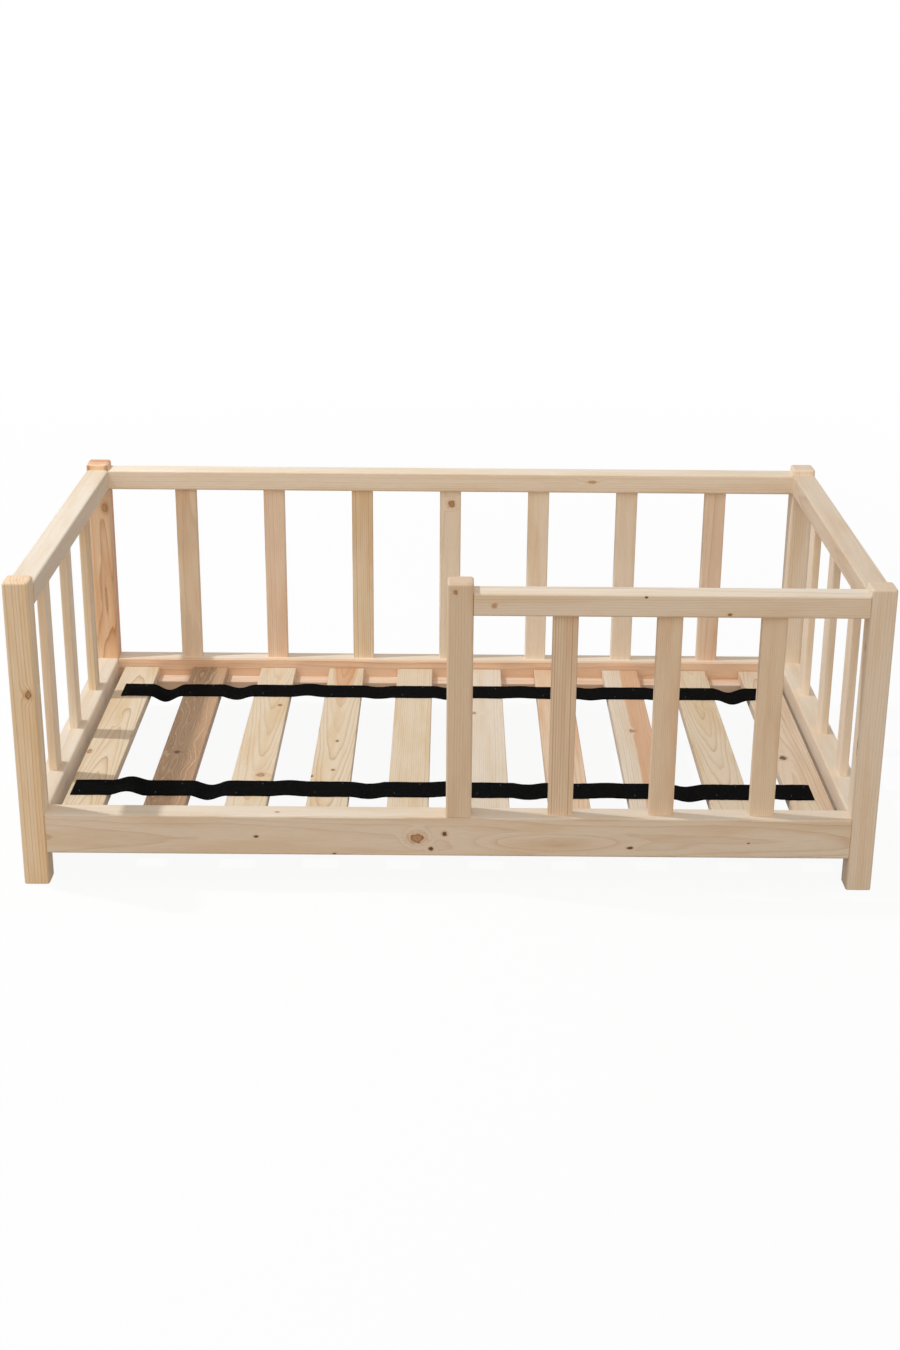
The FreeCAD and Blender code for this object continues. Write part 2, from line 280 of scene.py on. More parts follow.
# a knot's colours; the rings bend by a share of its width, out to a number of its half widths;
# an eye has no knot in it, only rings that swell round its place, or meet in a closed eye
knotKinds = {
    "live": {"core": "#BC9068", "heart": "#6E462C", "rim": "#67452E", "bend": 0.75, "reach": 4.5},
    "dark": {"core": "#4A2C1A", "heart": "#2E1B10", "rim": "#3A2214", "bend": 0.5, "reach": 4.0},
    "pin": {"core": "#8A5C3A", "heart": "#6A4428", "rim": "#7A5030", "bend": 0.3, "reach": 3.0},
    "faint": {"core": "#CDA57C", "heart": "#A67A52", "rim": "#B08860", "bend": 0.4, "reach": 4.0},
    # a split is a drying crack drawn only in colour: its dark line is painted shade
    "split": {"core": "#3C2516", "heart": "#2E1B10", "rim": "#5A3822", "bend": 0.0, "reach": 2.0},
    "eye": {"bend": 0.22, "reach": 1.5},
    "closed eye": {"bend": 0.42, "reach": 1.5},
}
knotValues = {
    "branch": 8,                # how far a branch runs through the board, in widths of its knot
    "bendFrom": 0.3,            # half widths from the middle, where the rings' bend begins to ease
    "rimGrain": (7, 5),         # mm, length and width of the rim's unevenness
    "rimUneven": (0.72, 1.28),  # how far in and out the rim strays
    "rimFade": (0.9, 1.4),      # half widths, over which the knot fades into the wood
    "core": (0.22, 0.8),        # half widths, from the heart to the rim
    "haloColour": "#EBC9A4",    # multiplied in, for the warmer wood round a knot
    "haloReach": 2.6,           # half widths
    "haloShare": 0.6,
}
# rows that turn a board's grain direction to the pattern's x
grainTurns = {
    "x": Matrix(((1, 0, 0), (0, 1, 0), (0, 0, 1))),
    "y": Matrix(((0, 1, 0), (0, 0, 1), (1, 0, 0))),
    "z": Matrix(((0, 0, 1), (1, 0, 0), (0, 1, 0))),
}


def grainNoise(tree, inBoard, seed, size, detail, roughness):
    # noise drawn out along the grain; size is its length and width in mm
    length, width = size
    spot = addNode(tree, "ShaderNodeMapping", {"Vector": inBoard, "Location": seed,
                                               "Scale": (1 / length, 1 / width, 1 / width)})
    return addNode(tree, "ShaderNodeTexNoise", {"Vector": spot.outputs[0], "Scale": 1.0,
                                                "Detail": detail, "Roughness": roughness})


def pithDistance(tree, inBoard, seed, values):
    # mm from the pith, which wanders slowly along the board
    slow = grainNoise(tree, inBoard, seed, values["waves"], 4.0, 0.41)
    shift = addNode(tree, "ShaderNodeVectorMath", {0: slow.outputs["Color"], 1: (0.5, 0.5, 0.5)},
                    operation="SUBTRACT")
    wander = 2 * values["wander"]
    bent = addNode(tree, "ShaderNodeVectorMath", {0: shift.outputs[0], 1: (wander, wander, wander),
                                                  2: inBoard}, operation="MULTIPLY_ADD")
    pithY, pithZ = values["pith"]
    across = addNode(tree, "ShaderNodeVectorMath", {0: bent.outputs[0], 1: (0, 1, 1),
                                                    2: (0, -pithY, -pithZ)}, operation="MULTIPLY_ADD")
    return addNode(tree, "ShaderNodeVectorMath", {0: across.outputs[0]},
                   operation="LENGTH").outputs["Value"]


def lateWoodShare(tree, radius, values):
    # early wood darkens slowly into late wood, and then a new pale ring starts sharply
    ringNumber = addNode(tree, "ShaderNodeMath", {0: radius, 1: values["ring"]},
                         operation="DIVIDE").outputs[0]
    inRing = addNode(tree, "ShaderNodeMath", {0: ringNumber}, operation="FRACT")
    wholeRing = addNode(tree, "ShaderNodeMath", {0: ringNumber}, operation="FLOOR")
    late = addNode(tree, "ShaderNodeValToRGB", {"Fac": inRing.outputs[0]})
    for position, level in grainValues["lateSteps"]:
        late.color_ramp.elements.new(position).color = (level, level, level, 1)
    late.color_ramp.elements[0].color = (0, 0, 0, 1)
    late.color_ramp.elements[-1].color = (0, 0, 0, 1)
    yearly = addNode(tree, "ShaderNodeTexWhiteNoise", {"W": wholeRing.outputs[0]}, noise_dimensions="1D")
    weak, strong = grainValues["years"]
    strength = addNode(tree, "ShaderNodeMapRange", {"Value": yearly.outputs["Value"],
                                                    "To Min": weak * values["contrast"],
                                                    "To Max": strong * values["contrast"]})
    return addNode(tree, "ShaderNodeMath", {0: late.outputs[0], 1: strength.outputs[0]},
                   operation="MULTIPLY", use_clamp=True).outputs[0]


def woodColour(tree, inBoard, seed, radius, lateWood, fibre, values):
    # early wood with warmer patches, then the late wood's lines, heartwood and fibres
    tone = tones[values["tone"]]
    patch = grainNoise(tree, inBoard, seed + Vector((7, 3, 5)), grainValues["patch"], 2.0, 0.5)
    patchShare = addNode(tree, "ShaderNodeMapRange", {"Value": patch.outputs["Fac"], "From Min": 0.42,
                                                      "From Max": 0.7}, interpolation_type="SMOOTHSTEP")
    ground = addNode(tree, "ShaderNodeMix", {0: patchShare.outputs[0], 6: linear(tone["early"]),
                                             7: linear(tone["patch"])}, data_type="RGBA")
    colour = addNode(tree, "ShaderNodeMix", {0: lateWood, 6: ground.outputs[2], 7: linear(tone["late"])},
                     data_type="RGBA").outputs[2]
    if values["heart"]:
        edgeIn, edgeOut = grainValues["heartEdge"]
        inside = addNode(tree, "ShaderNodeMapRange", {"Value": radius,
                                                      "From Min": values["heart"] + edgeIn,
                                                      "From Max": values["heart"] + edgeOut,
                                                      "To Min": values["stain"], "To Max": 0.0},
                         interpolation_type="SMOOTHSTEP")
        colour = addNode(tree, "ShaderNodeMix", {0: inside.outputs[0], 6: colour,
                                                 7: linear(grainValues["heartColour"])},
                         data_type="RGBA", blend_type="MULTIPLY").outputs[2]
    dark, light = grainValues["fibreShade"]
    shade = addNode(tree, "ShaderNodeMapRange", {"Value": fibre, "From Min": 0.3, "From Max": 0.7,
                                                 "To Min": dark * values["shade"],
                                                 "To Max": light * values["shade"]})
    return addNode(tree, "ShaderNodeMix", {0: 1.0, 6: colour, 7: shade.outputs[0]},
                   data_type="RGBA", blend_type="MULTIPLY").outputs[2]


def darkenEnds(tree, colour, normal, grain):
    # where a face looks along the grain it is a cut end
    alongGrain = {"x": (1, 0, 0), "y": (0, 1, 0), "z": (0, 0, 1)}[grain]
    facing = addNode(tree, "ShaderNodeVectorMath", {0: normal, 1: alongGrain}, operation="DOT_PRODUCT")
    cutEnd = addNode(tree, "ShaderNodeMath", {0: facing.outputs["Value"]}, operation="ABSOLUTE")
    share = addNode(tree, "ShaderNodeMapRange", {"Value": cutEnd.outputs[0], "From Min": 0.6,
                                                 "From Max": 0.95, "To Min": 0.0,
                                                 "To Max": grainValues["endShare"]})
    return addNode(tree, "ShaderNodeMix", {0: share.outputs[0], 6: colour,
                                           7: linear(grainValues["endColour"])},
                   data_type="RGBA", blend_type="MULTIPLY").outputs[2]


def knotNodes(tree, inBoard, uneven, place, ownSize, kind):
    # distance from the knot, 1 on its uneven rim, measured round the branch that runs through the
    # face, and the mm that the rings bend there
    local = addNode(tree, "ShaderNodeMapping", {"Vector": inBoard, "Location": place, "Scale": ownSize},
                    vector_type="TEXTURE")
    even = addNode(tree, "ShaderNodeVectorMath", {0: local.outputs[0]}, operation="LENGTH")
    distance = addNode(tree, "ShaderNodeMath", {0: even.outputs["Value"], 1: uneven}, operation="MULTIPLY")
    look = knotKinds[kind]
    bend = addNode(tree, "ShaderNodeMapRange", {"Value": even.outputs["Value"],
                                                "From Min": knotValues["bendFrom"],
                                                "From Max": look["reach"],
                                                "To Min": 2 * look["bend"] * min(ownSize), "To Max": 0.0},
                   interpolation_type="SMOOTHERSTEP")
    return distance.outputs[0], bend.outputs[0]


def paintKnot(tree, colour, distance, kind):
    # a warm halo, then the knot itself: heart, paler core and a dark rim of bark
    look = knotKinds[kind]
    halo = addNode(tree, "ShaderNodeMapRange", {"Value": distance, "From Min": 1.0,
                                                "From Max": knotValues["haloReach"],
                                                "To Min": knotValues["haloShare"], "To Max": 0.0},
                   interpolation_type="SMOOTHSTEP")
    warmed = addNode(tree, "ShaderNodeMix", {0: halo.outputs[0], 6: colour,
                                             7: linear(knotValues["haloColour"])},
                     data_type="RGBA", blend_type="MULTIPLY")
    ramp = addNode(tree, "ShaderNodeValToRGB", {"Fac": distance})
    ramp.color_ramp.elements[0].color = linear(look["heart"])
    ramp.color_ramp.elements[1].position = 0.95
    ramp.color_ramp.elements[1].color = linear(look["rim"])
    for position in knotValues["core"]:
        ramp.color_ramp.elements.new(position).color = linear(look["core"])
    near, far = knotValues["rimFade"]
    cover = addNode(tree, "ShaderNodeMapRange", {"Value": distance, "From Min": near, "From Max": far,
                                                 "To Min": 0.95, "To Max": 0.0},
                    interpolation_type="SMOOTHSTEP")
    return addNode(tree, "ShaderNodeMix", {0: cover.outputs[0], 6: warmed.outputs[2], 7: ramp.outputs[0]},
                   data_type="RGBA").outputs[2]


def spruceMaterial(node, grain, board):
    # planed raw spruce: pale, matt, with tan late-wood lines that stand very slightly proud
    values = {**plainBoard, **board}
    low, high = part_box(node)
    toPattern = grainTurns[grain]
    leanY, leanZ = values["lean"]
    lean = Euler((0, math.radians(leanY), math.radians(leanZ))).to_matrix()
    turn = lean @ toPattern
    middle = (low + high) / 2 / mm
    half = toPattern @ (high - low) / 2 / mm
    pick = random.Random(node)
    seed = Vector([pick.uniform(0, 50) for _ in range(3)])

    material, tree = newMaterial("raw spruce, " + node.replace("_", " "))
    where = addNode(tree, "ShaderNodeTexCoord")
    # mm from the board's middle, x along the grain
    inBoard = addNode(tree, "ShaderNodeMapping", {"Vector": where.outputs["Object"],
                                                  "Scale": (1 / mm, 1 / mm, 1 / mm),
                                                  "Rotation": turn.to_euler(),
                                                  "Location": -(turn @ middle)}).outputs[0]
    radius = pithDistance(tree, inBoard, seed, values)

    # each knot bends the rings, and most are painted over them
    painted = []
    grown = grainNoise(tree, inBoard, seed + Vector((4, 8, 1)), knotValues["rimGrain"], 2.0, 0.5)
    inward, outward = knotValues["rimUneven"]
    uneven = addNode(tree, "ShaderNodeMapRange", {"Value": grown.outputs["Fac"], "From Min": 0.25,
                                                  "From Max": 0.75, "To Min": inward, "To Max": outward})
    for place, length, width, kind in values["knots"]:
        spot = toPattern @ (Vector(place) - middle)
        deep = knotValues["branch"] * width
        onSide = abs(spot.y) / half.y > abs(spot.z) / half.z    # which face the branch comes out of
        ownSize = (length / 2, deep if onSide else width / 2, width / 2 if onSide else deep)
        distance, bend = knotNodes(tree, inBoard, uneven.outputs[0], lean @ spot, ownSize, kind)
        radius = addNode(tree, "ShaderNodeMath", {0: radius, 1: bend}, operation="ADD").outputs[0]
        if "rim" in knotKinds[kind]:
            painted.append((distance, kind))

    lateWood = lateWoodShare(tree, radius, values)
    fibre = grainNoise(tree, inBoard, seed + Vector((1, 9, 2)), grainValues["fibre"], 2.0,
                       0.6).outputs["Fac"]
    colour = woodColour(tree, inBoard, seed, radius, lateWood, fibre, values)
    colour = darkenEnds(tree, colour, where.outputs["Normal"], grain)
    for distance, kind in painted:
        colour = paintKnot(tree, colour, distance, kind)

    relief = addNode(tree, "ShaderNodeMath", {0: fibre, 1: grainValues["fibreRelief"], 2: lateWood},
                     operation="MULTIPLY_ADD")
    bump = addNode(tree, "ShaderNodeBump", {"Height": relief.outputs[0], "Strength": 0.5,
                                            "Distance": grainValues["bumpDepth"] * mm})
    smooth, rough = grainValues["gloss"]
    gloss = addNode(tree, "ShaderNodeMapRange", {"Value": fibre, "To Min": smooth, "To Max": rough})
    finishMaterial(tree, addNode(tree, "ShaderNodeBsdfPrincipled", {
        "Base Color": colour, "IOR": 1.5, "Roughness": gloss.outputs[0], "Normal": bump.outputs[0],
        "Sheen Weight": grainValues["fuzz"], "Sheen Roughness": 0.4}))
    return material


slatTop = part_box("slat_1")[1].z
# mm, the faces that most knots are placed on, in the bed's own frame
front = round(cadLow.y / mm)                         # of the front posts and rails
back = round(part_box("post_back_left")[0].y / mm)     # of the back posts and rails, towards the bay
top = round(slatTop / mm)                            # of the slats

# the boards as the photograph shows them; what a board doesn't name is as in plainBoard
posts = {
    "post_front_left": {"tone": "straw", "ring": 5.0, "pith": (80, 12), "contrast": 0.5, "wander": 4,
                        "shade": 1.15, "knots": (((-675, front, 338), 12, 8, "live"),)},
    "post_front_right": {"tone": "cream", "ring": 3.2, "pith": (70, 60), "contrast": 0.35, "wander": 2.5,
                         # its splits are painted shade of cracks, with no hollow in the wood
                         "knots": (((663, -384, 256), 26, 3, "split"),
                                   ((663, -378, 426), 12, 2.5, "split"))},
    "post_back_left": {"tone": "orange", "ring": 4.5, "pith": (6, 42), "contrast": 0.7, "wander": 9,
                       "lean": (1.6, 1.2), "heart": 56, "shade": 1.08,
                       "knots": (((-674, back, 440), 14, 7, "faint"), ((-680, back, 250), 40, 3, "faint"))},
    "post_back_right": {"tone": "cream", "ring": 3.6, "pith": (60, 40), "contrast": 0.45, "wander": 2,
                        "shade": 1.06},
    "entry_post": {"tone": "tan", "ring": 3.0, "pith": (60, 50), "contrast": 0.35, "wander": 3,
                   "knots": (((9, front, 517), 6, 5, "live"),)},
}
rails = {
    "side_rail_front": {"tone": "cream", "ring": 3.4, "pith": (74, -6), "contrast": 0.5, "wander": 6,
                        "lean": (0.3, -0.6), "shade": 0.95,
                        "knots": (((-316, front, 91), 6, 4, "dark"), ((-51, front, 90), 18, 12, "live"),
                                  ((-6, front, 98), 7, 6, "dark"), ((-28, front, 71), 7, 6, "dark"),
                                  ((301, front, 75), 8, 4, "dark"), ((-188, front, 60), 6, 3, "pin"),
                                  ((-282, -376, 128), 7, 3, "pin"), ((496, front, 85), 4, 2, "pin"),
                                  ((173, front, 84), 270, 32, "eye"))},
    # in part painted light: coloured lighter, with heartwood on the inner face only, so its top is paler
    "side_rail_back": {"tone": "cream", "ring": 3.4, "pith": (-70, 10), "contrast": 0.5, "wander": 5,
                       "shade": 1.04, "heart": 60, "stain": 0.45},
    "top_rail_back": {"tone": "cream", "ring": 4.0, "pith": (-60, -60), "contrast": 0.3, "wander": 5,
                      "shade": 1.02, "knots": (((270, back, 500), 60, 22, "eye"),
                                               ((274, back, 499), 12, 4, "faint"))},
    "guard_rail": {"tone": "cream", "ring": 4.0, "pith": (20, -84), "contrast": 0.4, "wander": 4,
                   "knots": (((70, front, 495), 6, 6, "faint"), ((309, front, 511), 4, 3, "dark"),
                             ((442, front, 483), 5, 3, "pin"))},
}
endRails = {
    "end_rail_left": {"tone": "cream", "ring": 5.0, "pith": (-60, 20), "contrast": 0.25, "shade": 0.94},
    "end_rail_right": {"tone": "cream", "ring": 5.0, "pith": (-70, -16), "contrast": 0.25},
    "top_rail_left": {"tone": "cream", "ring": 4.5, "pith": (60, 8), "contrast": 0.2, "wander": 4,
                      "shade": 0.93},
    "top_rail_right": {"tone": "tan", "ring": 3.8, "pith": (4, 90), "contrast": 0.5, "wander": 3,
                       "shade": 0.97},
}
frontBalusters = {
    "baluster_front_1": {"tone": "tan", "ring": 4.5, "pith": (100, 6), "contrast": 0.95, "wander": 1.5,
                         "shade": 1.03},
    "baluster_front_2": {"tone": "tan", "ring": 3.0, "pith": (90, 20), "contrast": 0.35, "wander": 2,
                         "shade": 1.06},
    "baluster_front_3": {"tone": "tan", "ring": 2.8, "pith": (80, 30), "contrast": 0.3, "wander": 2,
                         "shade": 1.06},
}
# painted light: these are coloured lighter than the front balusters, for light the lamps don't give them
otherBalusters = {
    "baluster_back_1": {"tone": "tan", "ring": 5.0, "pith": (10, 60), "contrast": 0.25},
    "baluster_back_2": {"tone": "pink", "ring": 4.0, "pith": (-80, 8), "contrast": 0.4, "wander": 2,
                        "shade": 1.12},
    "baluster_back_3": {"tone": "straw", "ring": 4.0, "pith": (-90, 4), "contrast": 0.75, "wander": 1.5,
                        "shade": 1.09},
    "baluster_back_4": {"tone": "cream", "ring": 4.0, "pith": (8, 70), "contrast": 0.25,
                        "shade": 1.06, "knots": (((2, 364, 449), 11, 10, "live"),)},
    "baluster_back_5": {"tone": "cream", "ring": 4.0, "pith": (14, 80), "contrast": 0.22, "shade": 1.1},
    "baluster_back_6": {"tone": "cream", "ring": 4.0, "pith": (-20, 80), "contrast": 0.2, "shade": 1.06},
    "baluster_back_7": {"tone": "pink", "ring": 4.5, "pith": (20, 60), "contrast": 0.3, "shade": 1.08},
    "baluster_left_1": {"tone": "cream", "contrast": 0.25, "shade": 1.1},
    "baluster_left_2": {"tone": "cream", "contrast": 0.25, "shade": 1.06},
    "baluster_left_3": {"tone": "straw", "pith": (60, 8), "contrast": 0.4},
    "baluster_right_1": {"tone": "cream", "contrast": 0.22, "shade": 1.1},
    "baluster_right_2": {"tone": "cream", "contrast": 0.2},
    "baluster_right_3": {"tone": "cream", "contrast": 0.2, "shade": 1.14},
}
slats = {
    "slat_1": {"tone": "straw", "ring": 2.6, "pith": (-34, 6), "lean": (0.3, 1.6), "contrast": 0.6,
               "wander": 5, "knots": (((-644, -86, top), 14, 6, "live"), ((-617, 60, top), 60, 14, "eye"))},
    "slat_2": {"tone": "brown", "ring": 2.3, "pith": (-24, -10), "contrast": 0.8, "wander": 13,
               "waves": (120, 32), "shade": 1.0, "knots": (((-487, -87, top), 10, 10, "dark"),)},
    "slat_3": {"tone": "straw", "ring": 3.0, "pith": (-36, 4), "lean": (0.3, -2.0), "contrast": 0.4,
               "wander": 6,
               "knots": (((-322, 145, top), 8, 7, "pin"), ((-328, -185, top), 12, 11, "live"))},
    "slat_4": {"tone": "straw", "ring": 3.6, "pith": (-38, -4), "lean": (0.3, -1.8), "contrast": 0.5,
               "wander": 8, "heart": 42,
               "knots": (((-203, -30, top), 7, 5, "pin"), ((-203, -162, top), 7, 5, "pin"),
                         ((-240, -189, top), 8, 7, "dark"))},
    "slat_5": {"tone": "straw", "ring": 3.8, "pith": (-10, 100), "contrast": 0.5, "wander": 3},
    "slat_6": {"tone": "cream", "ring": 2.6, "pith": (-50, 50), "contrast": 0.45, "wander": 4,
               "knots": (((48, 112, top), 9, 6, "live"), ((72, 113, top), 46, 22, "closed eye"))},
    "slat_7": {"tone": "orange", "ring": 4.0, "pith": (-40, 60), "contrast": 0.35, "shade": 1.0},
    "slat_8": {"tone": "cream", "ring": 4.2, "pith": (-8, 46), "contrast": 0.45, "wander": 6, "heart": 53,
               "knots": (((340, 29, top), 12, 9, "live"), ((350, -70, top), 110, 18, "eye"))},
    "slat_9": {"tone": "straw", "ring": 3.0, "pith": (-38, 2), "lean": (0.3, -1.8), "contrast": 0.45,
               "wander": 8, "knots": (((491, 163, top), 60, 30, "eye"),)},
    "slat_10": {"tone": "tan", "ring": 3.2, "pith": (-34, -10), "lean": (0.8, 1.5), "contrast": 0.5,
                "wander": 8, "shade": 1.0, "knots": (((599, -93, top), 14, 10, "dark"),)},
}
ledges = {
    "ledge_front": {"tone": "pink", "contrast": 0.3},
    # painted light: the back ledge is coloured a little lighter than the front one, for light on it
    "ledge_back": {"tone": "pink", "contrast": 0.3, "shade": 1.05},
}


def dress(group, grain, **usual):
    # usual is for the boards that don't name their own
    for node, board in group.items():
        setMaterial(node, spruceMaterial(node, grain, {**usual, **board}))


dress(posts, "z")
dress(rails, "x")
dress(endRails, "y")
dress(frontBalusters, "z")
# painted light: 1.07 lightens these balusters for light the lamps don't give them
dress(otherBalusters, "z", shade=1.07)
dress(slats, "y", shade=0.95)
dress(ledges, "x")
print("timber dressed")


# hardware: the frame's own bolts, barrel nuts, screws and dowels
zincValues = {
    "bolts": ("#BFC3C6", "#D9DADA"),   # dark and light of the plating's mottling
    "wire": ("#434445", "#626364"),    # staple wire is duller than the bolts
    "mottling": 1.5,                   # mm
    "gloss": (0.24, 0.42),             # roughness
}
beechValues = {
    "wood": "#DDB692",
    "fleckColour": "#C99D77",
    "fleck": 2.0,          # mm
    "roughness": 0.6,
}


def zincMaterial(name, colours):
    # zinc on steel: slightly blue, with the soft mottling of the plating
    dark, light = colours
    material, tree = newMaterial(name)
    where = addNode(tree, "ShaderNodeTexCoord")
    cloud = addNode(tree, "ShaderNodeTexNoise", {"Vector": where.outputs["Object"],
                                                 "Scale": 1 / (zincValues["mottling"] * mm),
                                                 "Detail": 3.0})
    colour = addNode(tree, "ShaderNodeMix", {0: cloud.outputs["Fac"], 6: linear(dark), 7: linear(light)},
                     data_type="RGBA")
    smooth, rough = zincValues["gloss"]
    gloss = addNode(tree, "ShaderNodeMapRange", {"Value": cloud.outputs["Fac"], "To Min": smooth,
                                                 "To Max": rough})
    finishMaterial(tree, addNode(tree, "ShaderNodeBsdfPrincipled", {"Base Color": colour.outputs[2],
                                                                    "Metallic": 1.0,
                                                                    "Roughness": gloss.outputs[0]}))
    return material


def beechMaterial():
    # beech dowel: pinkish brown with short dark flecks
    values = beechValues
    material, tree = newMaterial("beech dowel")
    where = addNode(tree, "ShaderNodeTexCoord")
    fleck = addNode(tree, "ShaderNodeTexNoise", {"Vector": where.outputs["Object"],
                                                 "Scale": 1 / (values["fleck"] * mm), "Detail": 2.0})
    colour = addNode(tree, "ShaderNodeMix", {0: fleck.outputs["Fac"], 6: linear(values["fleckColour"]),
                                             7: linear(values["wood"])}, data_type="RGBA")
    finishMaterial(tree, addNode(tree, "ShaderNodeBsdfPrincipled", {"Base Color": colour.outputs[2],
                                                                    "Roughness": values["roughness"]}))
    return material


zinc = zincMaterial("zinc-plated steel", zincValues["bolts"])
for name in ("bed_bolts", "entry_post_bolt", "barrel_nuts", "ledge_screws"):
    setMaterial(name, zinc)
setMaterial("dowels", beechMaterial())
print("hardware dressed")


# webbing: two straps of black woven polypropylene, stapled to every slat
webbingValues = {
    "width": 62.0,             # mm
    "thickness": 1.8,          # mm
    "selvedge": 0.7,           # mm, round of the long edges
    "stretchSteps": 28,        # divisions along a stapled stretch
    "gapSteps": 28,            # and along one that crosses a gap
    "crossSteps": 14,
    "crease": 50,              # degrees between two faces, from which their edge is drawn sharp
    # unevenness: mm, then how many ups and downs to the metre
    "drift": (1.3, 7),         # the straps aren't laid dead straight
    "edgeWander": (1.3, 26),
    "edgeNibble": (0.8, 130),
    "ripple": (0.35, 40, 30),  # along and across
    "thread": 1.6,             # mm from thread to thread, drawn a little coarser so that it shows
    "weaveDepth": 0.35,        # mm
    "lint": 9.0,               # mm, size of dusty patches
    "gapShadeColour": "#030303",    # painted shade between the threads
    "threadColour": "#090909",
    "lintColour": "#131313",
}
# waves: mm at the middle of each gap, up or down, as the photograph shows;
# cuts: mm from the outermost slats' outer edges to the strap's cut ends
straps = {
    "front": {"waves": (7.0, -8.0, 2.0, -4.0, 2.0, -3.0, 1.5, -5.0, 2.0),
              "cuts": (7, 27), "seed": 2.0},
    "back": {"waves": (-12.0, -7.0, 3.0, -3.0, -4.0, 1.5, -2.5, -2.0, -9.0),
             "cuts": (18, 17), "seed": 8.0},
}
slatCount = len(slats)
# left and right edge of each slat, metres along the bed
slatEdges = [tuple(corner.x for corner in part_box(f"slat_{n}")) for n in range(1, slatCount + 1)]
strapsLow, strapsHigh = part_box("webbing_1")
halfStrap = webbingValues["width"] / 2 * mm
straps["front"]["middleY"] = strapsLow.y + halfStrap
straps["back"]["middleY"] = strapsHigh.y - halfStrap


def webbingMaterial():
    # black polypropylene webbing: matt plain weave, painted shade between threads, paler where lint has
    # settled
    values = webbingValues
    material, tree = newMaterial("black polypropylene webbing")
    place = addNode(tree, "ShaderNodeUVMap", uv_map="cloth")
    parts = addNode(tree, "ShaderNodeSeparateXYZ", {0: place.outputs[0]})
    waves = []
    for axis in ("X", "Y"):
        turn = addNode(tree, "ShaderNodeMath", {0: parts.outputs[axis],
                                                1: math.pi / (values["thread"] * mm)},
                       operation="MULTIPLY")
        waves.append(addNode(tree, "ShaderNodeMath", {0: turn.outputs[0]}, operation="SINE").outputs[0])
    over = addNode(tree, "ShaderNodeMath", {0: waves[0], 1: waves[1]}, operation="MULTIPLY")
    height = addNode(tree, "ShaderNodeMath", {0: over.outputs[0]}, operation="ABSOLUTE")
    lint = addNode(tree, "ShaderNodeTexNoise", {"Vector": place.outputs[0],
                                                "Scale": 1 / (values["lint"] * mm),
                                                "Detail": 4.0, "Roughness": 0.7})
    dust = addNode(tree, "ShaderNodeMapRange", {"Value": lint.outputs["Fac"], "From Min": 0.45,
                                                "From Max": 0.8})
    # painted shade: the weave is drawn darker where it dips between the threads
    base = addNode(tree, "ShaderNodeMix", {0: height.outputs[0], 6: linear(values["gapShadeColour"]),
                                           7: linear(values["threadColour"])}, data_type="RGBA")
    colour = addNode(tree, "ShaderNodeMix", {0: dust.outputs[0], 6: base.outputs[2],
                                             7: linear(values["lintColour"])}, data_type="RGBA")
    bump = addNode(tree, "ShaderNodeBump", {"Height": height.outputs[0], "Strength": 0.8,
                                            "Distance": values["weaveDepth"] * mm})
    finishMaterial(tree, addNode(tree, "ShaderNodeBsdfPrincipled", {"Base Color": colour.outputs[2],
                                                                    "Roughness": 0.9, "IOR": 1.1,
                                                                    "Normal": bump.outputs[0]}))
    return material


def strapSpan(number, cuts):
    # where a strap lies on one slat, metres along the bed
    left, right = slatEdges[number - 1]
    return (left + (cuts[0] * mm if number == 1 else 0),
            right - (cuts[1] * mm if number == slatCount else 0))


def strapHeight(x, waves):
    # mm above the slats' tops at one place along the bed
    for wave, before, after in zip(waves, slatEdges, slatEdges[1:]):
        left = before[1]
        right = after[0]
        if left < x < right:
            return wave * (1 - math.cos(2 * math.pi * (x - left) / (right - left))) / 2
    return 0.0


def flatBand(start, end, steps):
    # a flat stretch of webbing with round selvedges, along x from start to end, its middle at y 0
    values = webbingValues
    width = values["width"] * mm
    tiny = 1e-6
    bm = bmesh.new()
    bmesh.ops.create_grid(bm, x_segments=steps, y_segments=values["crossSteps"], size=0.5)
    bmesh.ops.scale(bm, vec=(end - start, width, 1), verts=bm.verts)
    bmesh.ops.translate(bm, vec=((start + end) / 2, 0, 0), verts=bm.verts)
    bmesh.ops.solidify(bm, geom=bm.faces[:], thickness=values["thickness"] * mm)
    bmesh.ops.recalc_face_normals(bm, faces=bm.faces)
    rims = [e for e in bm.edges if all(abs(abs(v.co.y) - width / 2) < tiny for v in e.verts)
            and abs(e.verts[0].co.x - e.verts[1].co.x) > tiny]
    bmesh.ops.bevel(bm, geom=rims, offset=values["selvedge"] * mm, affect="EDGES", segments=2,
                    profile=0.5, material=-1)
    cloth = bm.loops.layers.uv.new("cloth")
    for face in bm.faces:
        for loop in face.loops:
            loop[cloth].uv = (loop.vert.co.x, loop.vert.co.y)
    return bm


def strapStretch(name, start, end, steps, strap):
    # one stretch of a strap: the flat band, bent to the strap's own course
    values = webbingValues
    drift, driftOften = values["drift"]
    wander, wanderOften = values["edgeWander"]
    nibble, nibbleOften = values["edgeNibble"]
    ripple, rippleAlong, rippleAcross = values["ripple"]
    seed = strap["seed"]
    bm = flatBand(start, end, steps)
    lowest = min(v.co.z for v in bm.verts)
    for vert in bm.verts:
        x, y = vert.co.x, vert.co.y
        side = seed + (3 if y > 0 else -3)    # the two long edges stray on their own
        edge = noise.noise(Vector((x * wanderOften, side, 1))) * wander
        edge += noise.noise(Vector((x * nibbleOften, side, 9))) * nibble
        shift = noise.noise(Vector((x * driftOften, seed, 5))) * drift
        lift = abs(noise.noise(Vector((x * rippleAlong, y * rippleAcross, seed)))) * ripple
        vert.co.y = strap["middleY"] + y + (edge * abs(y) / halfStrap + shift) * mm
        vert.co.z += slatTop - lowest + (lift + strapHeight(x, strap["waves"])) * mm
    piece = newPiece(name, bm, blackWebbing)
    piece.data.shade_smooth()
    piece.data.set_sharp_from_angle(angle=math.radians(values["crease"]))
    return piece


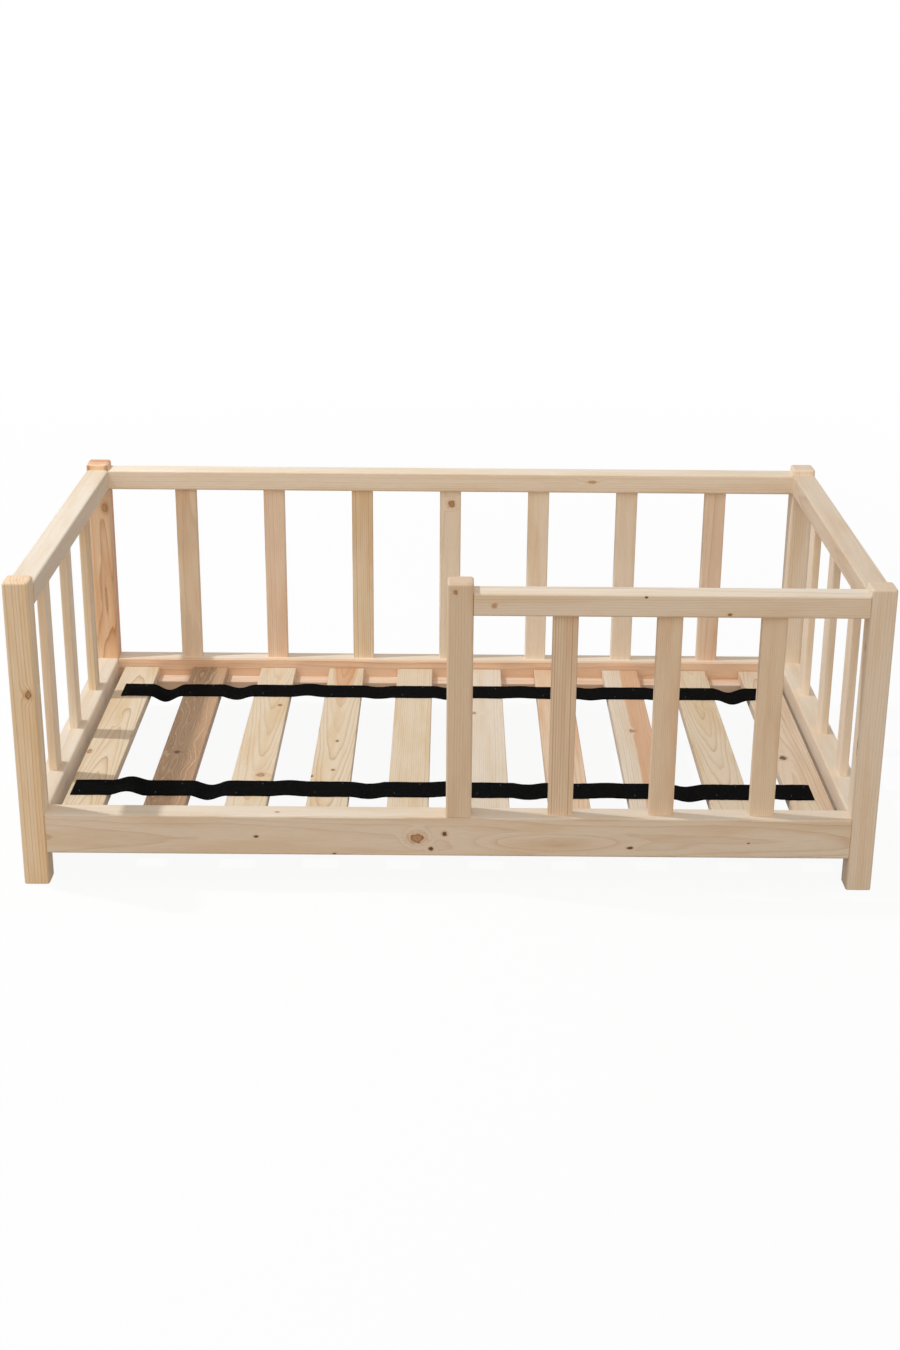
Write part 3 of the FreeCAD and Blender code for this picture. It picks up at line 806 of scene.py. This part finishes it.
def makeStraps():
    # on each slat a stretch that rides with it, and over each gap one that bends between two slats
    values = webbingValues
    for side, strap in straps.items():
        for number in range(1, slatCount + 1):
            start, end = strapSpan(number, strap["cuts"])
            piece = strapStretch(f"strap_{side}_{number}", start, end, values["stretchSteps"], strap)
            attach(piece, f"base_{number}")
            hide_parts(f"webbing_{number}")
            if number == slatCount:
                continue
            nextLeft = slatEdges[number][0]
            piece = strapStretch(f"strap_{side}_gap_{number}", end, nextLeft, values["gapSteps"], strap)
            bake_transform(piece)


blackWebbing = webbingMaterial()
makeStraps()
print("webbing made")


# staples: flat wire, pressed into the webbing
stapleValues = {
    "crown": 5.0,           # mm long
    "wire": (0.7, 0.4),     # mm, width and thickness of the flat wire
    "leg": 1.4,             # mm of each leg that shows before it sinks in
    "proud": 0.1,           # mm, from the flat webbing's top to the middle of the wire
    "places": ((-0.3, -0.3), (0.28, 0.32)),   # shares of the stretch's length and the strap's width
    "scatter": 3.0,         # mm, as a hand-held stapler leaves them
    "turn": (90, 9),        # degrees from the strap's own direction, and how far they stray from that
}


def addStaple(bm, place, turn):
    values = stapleValues
    wide, thick = values["wire"]
    made = bmesh.ops.create_cube(bm, size=1.0)["verts"]
    bmesh.ops.scale(bm, vec=(values["crown"] * mm, wide * mm, thick * mm), verts=made)
    faces = {f for v in made for f in v.link_faces}
    tips = [f for f in faces if abs(f.normal.x) > 0.9]
    for tip in tips:
        legs = bmesh.ops.extrude_discrete_faces(bm, faces=[tip])["faces"]
        corners = list({v for f in legs for v in f.verts})
        side = 1 if corners[0].co.x > 0 else -1
        bmesh.ops.translate(bm, vec=(-side * thick / 2 * mm, 0, -values["leg"] * mm), verts=corners)
        made += corners
    bmesh.ops.rotate(bm, cent=(0, 0, 0), matrix=Matrix.Rotation(turn, 3, "Z"), verts=made)
    bmesh.ops.translate(bm, vec=place, verts=made)


def makeStaples():
    values = stapleValues
    wire = zincMaterial("galvanised staple wire", zincValues["wire"])
    pick = random.Random(5)
    height = slatTop + (webbingValues["thickness"] + values["proud"]) * mm
    scatter = values["scatter"] * mm
    across, stray = values["turn"]
    for number in range(1, slatCount + 1):
        bm = bmesh.new()
        for strap in straps.values():
            left, right = strapSpan(number, strap["cuts"])
            for shareX, shareY in values["places"]:
                offX, offY, offTurn = [pick.uniform(-1, 1) for _ in range(3)]
                place = Vector(((left + right) / 2 + shareX * (right - left) + offX * scatter,
                                strap["middleY"] + 2 * shareY * halfStrap + offY * scatter, height))
                addStaple(bm, place, math.radians(across + stray * offTurn))
        bmesh.ops.recalc_face_normals(bm, faces=bm.faces)
        piece = newPiece(f"staples_{number}", bm, wire)
        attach(piece, f"base_{number}")


makeStaples()
print("staples made")

bpy.context.scene.view_settings.view_transform = "Standard"
